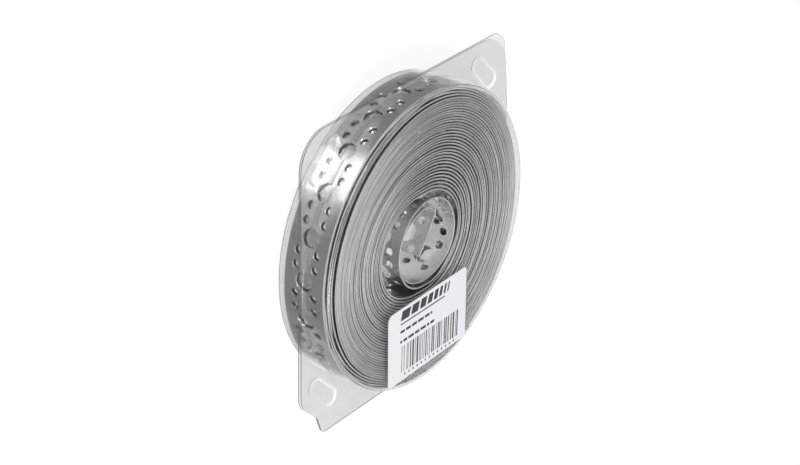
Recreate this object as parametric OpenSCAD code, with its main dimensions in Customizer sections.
// Perforated steel strap, wound into a coil and packed in a clear folded clamshell.
// The pack lies on its back cup: X runs along the label, Y away from the fold, Z up.

/* [Strap] */
// Width of the strap
strap_width = 19; // [15:0.5:30]
// Thickness of the steel
strap_thickness = 0.7; // [0.5:0.05:1.0]
// Distance from one large hole to the next along the strap
hole_pitch = 18; // [16:0.5:24]
// Diameter of the large holes on the centre line
large_hole = 8; // [5:0.1:8.5]
// Diameter of the small holes
small_hole = 3.5; // [2.5:0.1:4.2]
// Distance between the two small holes of a pair, along the strap
pair_spacing = 6; // [5:0.1:7]
// Distance of each row of small holes from the centre line
row_offset = 4.5; // [3.8:0.1:5]
// Distance of the last large hole from the strap's cut end
end_hole = 8; // [6:0.1:10]

/* [Coil] */
// Outer diameter of the coil
coil_diameter = 126.6; // [110:0.2:150]
// Width of the oval bore
bore_width = 47.7; // [44:0.1:56]
// Height of the oval bore
bore_height = 42.4; // [40:0.1:44]
// Sideways place of the bore's middle
bore_x = -2.15; // [-3:0.05:3]
// Lengthways place of the bore's middle
bore_y = -1.15; // [-3:0.05:3]
// Radial distance from one turn to the next
turn_pitch = 1.08; // [0.9:0.01:1.4]
// Width of the gap that shows between two turns
turn_gap = 0.3; // [0.2:0.05:0.4]
// Depth of the gap that shows between two turns
turn_gap_depth = 0.5; // [0.3:0.1:1]
// Number of outer turns that have sprung loose
loose_turns = 3; // [0:1:4]
// Depth of the gaps between the loose turns
loose_gap_depth = 3; // [1:0.5:6]
// Angle of the outer turn's first large hole
rim_start = -4; // [-8:0.5:8]

/* [Free inner loop] */
// Room between the loop and the top of the bore
loop_top_room = 4.4; // [3:0.1:6]
// Room between the loop and the bore's sides, both together
loop_side_room = 12.2; // [9:0.1:14]
// Radius of the loop's top and bottom bends
loop_end_radius = 16.2; // [15.5:0.1:16.8]
// Inward step from each half turn of the loop to the next
loop_step = 0.5; // [0.4:0.05:0.7]
// Mean radius of the turned-back end's first bend
hook_radius = 15.5; // [14:0.5:16]
// Mean radius of the turned-back end's tight bend
bend_radius = 3.2; // [2.4:0.1:4]
// Length of the straight tongue at the strap's end
tongue_length = 18; // [12:0.5:19]
// Distance of the loop's first large hole from where the loop leaves the coil
loop_start = 11.3; // [9:0.1:18]

/* [Clamshell] */
// Thickness of the clear sheet
sheet = 0.4; // [0.3:0.05:0.6]
// Free height above and below the coil inside the cups
coil_headroom = 2.75; // [1.8:0.05:4]
// Outer radius of the cups' edges
cup_edge = 1.5; // [0.8:0.1:1.7]
// Clearance between the coil and the front cup at the flange
lid_clearance = 0.4; // [0.4:0.05:0.8]
// How much the front cup's wall leans in from the flange to its face
lid_draft = 0.3; // [0.1:0.05:0.3]
// How far the flange's left edge stands out past the coil
flange_left = 2.2; // [1.5:0.1:6]
// How far the flange's right edge stands out past the coil
flange_right = 3.5; // [2:0.1:6]
// How far the flange's top edge stands out past the coil
flange_top = 2.7; // [2:0.1:6]
// How far the fold stands out past the coil
flange_fold = 6.7; // [5:0.1:10]
// How far the fold's left end stands in from the coil's left side
fold_left = 10.8; // [8:0.1:20]
// How far the fold's right end stands in from the coil's right side
fold_right = 23.3; // [10:0.1:30]
// Height of the left relief above the fold
relief_left = 21; // [16:0.5:30]
// Height of the right relief above the fold
relief_right = 22; // [16:0.5:30]
// How far the foot of the left relief stands in from the coil's left side
relief_foot = 6.8; // [4:0.1:8]
// Height of the foot of the left relief above the fold
relief_foot_height = 10.5; // [6:0.1:14]
// How far the front flange's right and top edges stand inside the back ones
front_inset = 1.2; // [0.4:0.1:1.2]
// Corner radius of both flanges at the top left
corner_left = 14; // [8:0.5:18]
// Corner radius of the back flange at the top right
corner_right_back = 11.5; // [6:0.5:16]
// Corner radius of the front flange at the top right
corner_right_front = 17; // [8:0.5:20]

/* [Snap bosses] */
// Length of each snap boss
boss_length = 21; // [16:0.5:24]
// Width of each snap boss
boss_width = 8; // [6:0.5:9]
// Depth of each snap boss
boss_depth = 3; // [2:0.1:4]
// Lean of the bosses' walls
boss_draft = 20; // [15:1:25]
// Clearance between the nested bosses
boss_clearance = 0.3; // [0.2:0.05:0.4]
// Distance of the bosses from the front cup's wall
boss_gap = 4; // [2:0.1:4.5]

/* [Label] */
// Width of the label
label_width = 52; // [30:0.5:54]
// Height of the label
label_height = 31.5; // [20:0.5:33]
// Sideways place of the label's middle
label_x = 0.7; // [-2:0.1:2]
// Distance of the label's lower edge from the front cup's rim
label_margin = 7.4; // [7:0.1:16]
// Corner radius of the label
label_corner = 3; // [1:0.1:5]
// Thickness of the label's paper
label_thickness = 0.15; // [0.1:0.05:0.3]

/* [Hidden] */
$fn = 96;

steel = "#b4b6b8";
clear_sheet = "#dfe5ea80";
paper = "#f2f2f5";

coil_radius = coil_diameter / 2;
flange_z = sheet + coil_headroom + strap_width / 2;
coil_z = flange_z - strap_width / 2;
overlap = 0.05;
arc_steps = 8;
facet_angle = 6;

// Back cup's wall touches the sprung outer turn, front cup's wall clears it
back_radius = coil_radius;
lid_radius = coil_radius + lid_clearance;
lid_face_radius = lid_radius - lid_draft;
fold_y = -(coil_radius + flange_fold);

// Turn gaps, from the outermost inwards: the loose turns stand one more thickness apart
loose_pitch = turn_pitch + strap_thickness / 2;
loose_reach = loose_turns * loose_pitch;
gap_count = floor((coil_radius - loose_reach - bore_height / 2) / turn_pitch);
loose_gaps = [for (i = [1 : 1 : loose_turns]) coil_radius - i * loose_pitch + turn_pitch - strap_thickness];
turn_gaps = [for (i = [1 : gap_count]) coil_radius - loose_reach - i * turn_pitch];

// The loop is an oval of four bends, and its second layer lies inside the first
loop_width = bore_width - loop_side_room - strap_thickness;
loop_height = bore_height - loop_top_room - strap_thickness;
end_centre = loop_height / 2 - loop_end_radius;
side_slack = loop_width / 2 - loop_end_radius;
side_centre = (end_centre * end_centre - side_slack * side_slack) / (2 * side_slack);
loop_side_radius = loop_width / 2 + side_centre;
side_sweep = 2 * atan2(end_centre, side_centre);
end_sweep = 180 - side_sweep;
hook_lead = 12.2;
tongue_lean = 12;
hook_heading = 90 - side_sweep / 2 + hook_lead;
hook_sweep = hook_heading + tongue_lean;
bend_sweep = 110;
route = [
    [loop_end_radius, end_sweep / 2],
    [loop_side_radius, side_sweep],
    [loop_end_radius, end_sweep],
    [loop_side_radius - loop_step, side_sweep],
    [loop_end_radius - loop_step, end_sweep],
    [loop_side_radius - 2 * loop_step, 180 - end_sweep / 2 - hook_heading],
    [hook_radius, hook_sweep],
    [bend_radius, bend_sweep]
];
loop_x = bore_x + loop_side_room / 4;
loop_root = 0.3;
route_start = [loop_x, bore_y - bore_height / 2 + strap_thickness / 2 - loop_root, 180];
leg_count = len(route);
leg_states = [for (i = [0 : leg_count]) state_after(i)];
leg_starts = [for (i = [0 : leg_count]) length_before(i)];
route_length = leg_starts[leg_count] + tongue_length;

// Holes are counted from the coil up to here, and from the cut end back to here
splice_length = (leg_starts[5] + leg_starts[6]) / 2;

// Place and heading at the end of a clockwise bend that starts at a place and heading
function bend_centre(at, radius) = [at[0] + radius * sin(at[2]), at[1] - radius * cos(at[2])];
function bend_end(at, radius, sweep) =
    let (centre = bend_centre(at, radius), heading = at[2] - sweep)
    [centre[0] - radius * sin(heading), centre[1] + radius * cos(heading), heading];
function state_after(count) = count == 0 ? route_start
    : bend_end(state_after(count - 1), route[count - 1][0], route[count - 1][1]);
function length_before(count) = count == 0 ? 0
    : length_before(count - 1) + route[count - 1][0] * route[count - 1][1] * PI / 180;

// Place and heading at a distance along the loop, from where it leaves the coil
function leg_at(distance) = max([for (i = [0 : leg_count]) distance >= leg_starts[i] ? i : 0]);
function along(at, distance) = [at[0] + distance * cos(at[2]), at[1] + distance * sin(at[2]), at[2]];
function route_at(distance) =
    let (leg = leg_at(distance), rest = distance - leg_starts[leg])
    leg == leg_count ? along(leg_states[leg], rest)
    : bend_end(leg_states[leg], route[leg][0], rest / route[leg][0] * 180 / PI);

function reversed(points) = [for (i = [len(points) - 1 : -1 : 0]) points[i]];

// A closed outline whose corners [x, y, radius] are rounded by arcs
function unit(v) = v / norm(v);
function turn_angle(a, b) = atan2(a[0] * b[1] - a[1] * b[0], a * b);
function corner_arc(before, corner, after) =
    let (
        into = unit([corner[0] - before[0], corner[1] - before[1]]),
        out = unit([after[0] - corner[0], after[1] - corner[1]]),
        turn = turn_angle(into, out),
        cut = corner[2] * tan(abs(turn) / 2),
        side = sign(turn),
        centre = [corner[0], corner[1]] - into * cut + side * corner[2] * [-into[1], into[0]]
    )
    [for (i = [0 : arc_steps])
        let (a = i * turn / arc_steps)
        centre + side * corner[2] * [into[1] * cos(a) + into[0] * sin(a), into[1] * sin(a) - into[0] * cos(a)]];
function rounded(corners) =
    let (last = len(corners))
    [for (i = [0 : last - 1])
        each corner_arc(corners[(i + last - 1) % last], corners[i], corners[(i + 1) % last])];

// The flange's corners, anticlockwise from the bottom right, with the relief beside the fold
relief_corner = 10;
relief_step = 3;
function flange_corners(inset, top_right) = [
    [coil_radius - fold_right, fold_y, relief_step],
    [coil_radius + flange_right - inset, fold_y + relief_right, relief_corner],
    [coil_radius + flange_right - inset, coil_radius + flange_top - inset, top_right],
    [-coil_radius - flange_left, coil_radius + flange_top - inset, corner_left],
    [-coil_radius - flange_left, fold_y + relief_left, relief_corner],
    [-coil_radius + relief_foot, fold_y + relief_foot_height, relief_step],
    [-coil_radius + fold_left, fold_y, relief_step]
];

// One face of the loop's strap, seen on its edge, from the coil to the tongue's end
function beside(at, side) = [at[0] - side * sin(at[2]), at[1] + side * cos(at[2])];
function leg_face(i, side) =
    let (steps = ceil(route[i][1] / facet_angle))
    [for (k = [0 : steps - 1])
        beside(bend_end(leg_states[i], route[i][0], k * route[i][1] / steps), side)];
function loop_face(side) = concat(
    [for (i = [0 : leg_count - 1]) each leg_face(i, side)],
    [for (reach = [0, tongue_length]) beside(along(leg_states[leg_count], reach), side)]
);

// One hole through the strap, at a place and heading, at a height across the strap's width
module strap_hole(at, height, diameter) {
    translate([at[0], at[1], strap_width / 2 + height])
        rotate([0, 0, at[2]])
            rotate([90, 0, 0])
                cylinder(h = strap_thickness + 2 * overlap, d = diameter, center = true);
}

module small_holes(at) {
    for (height = [-row_offset, row_offset]) strap_hole(at, height, small_hole);
}

module small_pairs(distance) {
    for (side = [-0.5, 0.5]) small_holes(route_at(distance + side * pair_spacing));
}

module free_loop() {
    difference() {
        linear_extrude(strap_width)
            polygon(concat(loop_face(strap_thickness / 2), reversed(loop_face(-strap_thickness / 2))));
        for (s = [loop_start : hole_pitch : splice_length - hole_pitch]) {
            strap_hole(route_at(s), 0, large_hole);
            small_pairs(s + hole_pitch / 2);
        }
        for (s = [route_length - end_hole : -hole_pitch : splice_length + hole_pitch]) {
            strap_hole(route_at(s), 0, large_hole);
            small_pairs(s - hole_pitch / 2);
        }
        small_holes(route_at(route_length - end_hole + hole_pitch / 2 - pair_spacing / 2));
    }
}

// The outermost turn, with its holes down to the turn below
module outer_turn() {
    count = floor(2 * PI * coil_radius / hole_pitch);
    step = 360 / count;
    pair = pair_spacing / coil_radius * 180 / PI;
    difference() {
        rotate_extrude()
            translate([coil_radius - strap_thickness - overlap, 0])
                square([strap_thickness + overlap, strap_width]);
        for (i = [0 : count - 1]) {
            rim_hole(rim_start + i * step, 0, large_hole);
            for (turn = [-pair / 2, pair / 2], height = [-row_offset, row_offset])
                rim_hole(rim_start + (i + 0.5) * step + turn, height, small_hole);
        }
    }
}

module rim_hole(angle, height, diameter) {
    rotate([0, 0, angle])
        translate([coil_radius - 2 * strap_thickness, 0, strap_width / 2 + height])
            rotate([0, 90, 0]) cylinder(h = 3 * strap_thickness, d = diameter);
}

// All the turns below the outermost one, as one turned solid with the gaps cut into its ends
module wound_core() {
    core_radius = coil_radius - strap_thickness;
    difference() {
        cylinder(h = strap_width, r = core_radius);
        for (radius = turn_gaps) end_gaps(radius, turn_gap, turn_gap_depth);
        for (radius = loose_gaps) end_gaps(radius, turn_pitch - strap_thickness, loose_gap_depth);
        oval_bore();
    }
}

module end_gaps(radius, width, depth) {
    for (z = [-overlap, strap_width - depth])
        translate([0, 0, z])
            rotate_extrude() translate([radius - width / 2, 0]) square([width, depth + overlap]);
}

module oval_bore() {
    reach = (bore_width - bore_height) / 2;
    translate([bore_x, bore_y, -overlap]) {
        for (side = [-1, 1])
            translate([side * reach, 0, 0]) cylinder(h = strap_width + 2 * overlap, d = bore_height);
        translate([-reach, -bore_height / 2, 0])
            cube([2 * reach, bore_height, strap_width + 2 * overlap]);
    }
}

module strap_coil() {
    color(steel)
        translate([0, 0, coil_z]) {
            wound_core();
            outer_turn();
            free_loop();
        }
}

// Section of one cup from its face to the flange, with a rounded edge
function cup_wall(face_radius, wall_radius, edge, face, depth) = concat(
    [[0, face]],
    [for (i = [0 : arc_steps])
        let (a = i * 90 / arc_steps)
        [face_radius - edge + edge * sin(a), face - edge + edge * cos(a)]],
    [[wall_radius, depth]]
);

// One half of the clamshell, with its flange on the plane of the fold and its cup upwards
module shell_half(face_radius, wall_radius, corners) {
    depth = sheet + coil_headroom + strap_width / 2;
    outside = cup_wall(face_radius + sheet, wall_radius + sheet, cup_edge, depth, 0);
    inside = cup_wall(face_radius, wall_radius, cup_edge - sheet, depth - sheet, 0);
    rotate_extrude() polygon(concat(outside, reversed(inside)));
    linear_extrude(sheet)
        difference() {
            polygon(rounded(corners));
            circle(r = wall_radius + sheet / 2);
        }
}

// A boss with leaning walls and round ends, from its mouth downwards
module boss(width, length, depth) {
    lean = depth * tan(boss_draft);
    reach = (length - width) / 2;
    for (side = [-1, 1])
        translate([side * reach, 0, -depth])
            cylinder(h = depth, r1 = width / 2 - lean, r2 = width / 2);
    translate([-reach, 0, 0])
        rotate([90, 0, 90])
            linear_extrude(2 * reach)
                polygon([
                    [-width / 2, 0],
                    [-width / 2 + lean, -depth],
                    [width / 2 - lean, -depth],
                    [width / 2, 0]
                ]);
}

module at_bosses() {
    place = lid_radius + sheet + boss_gap + boss_width / 2;
    for (corner = [45 : 90 : 315])
        rotate([0, 0, corner]) translate([place, 0, 0]) rotate([0, 0, 90]) children();
}

module clamshell_back() {
    grow = 2 * boss_clearance;
    color(clear_sheet)
        translate([0, 0, flange_z])
            difference() {
                union() {
                    mirror([0, 0, 1]) shell_half(back_radius, back_radius, flange_corners(0, corner_right_back));
                    at_bosses()
                        boss(boss_width + grow + 2 * sheet, boss_length + grow + 2 * sheet,
                            boss_depth + boss_clearance + sheet);
                }
                at_bosses()
                    boss(boss_width + grow, boss_length + grow, boss_depth + boss_clearance);
            }
}

module clamshell_front() {
    color(clear_sheet)
        translate([0, 0, flange_z])
            difference() {
                union() {
                    shell_half(lid_face_radius, lid_radius, flange_corners(front_inset, corner_right_front));
                    at_bosses() boss(boss_width, boss_length, boss_depth);
                }
                translate([0, 0, sheet])
                    at_bosses() boss(boss_width - 2 * sheet, boss_length - 2 * sheet, boss_depth);
            }
}

module label() {
    left = label_x - label_width / 2;
    bottom = label_margin - lid_face_radius;
    color(paper)
        translate([0, 0, 2 * flange_z])
            linear_extrude(label_thickness)
                polygon(rounded([
                    [left, bottom, label_corner],
                    [left + label_width, bottom, label_corner],
                    [left + label_width, bottom + label_height, label_corner],
                    [left, bottom + label_height, label_corner]
                ]));
}

strap_coil();
clamshell_back();
clamshell_front();
label();
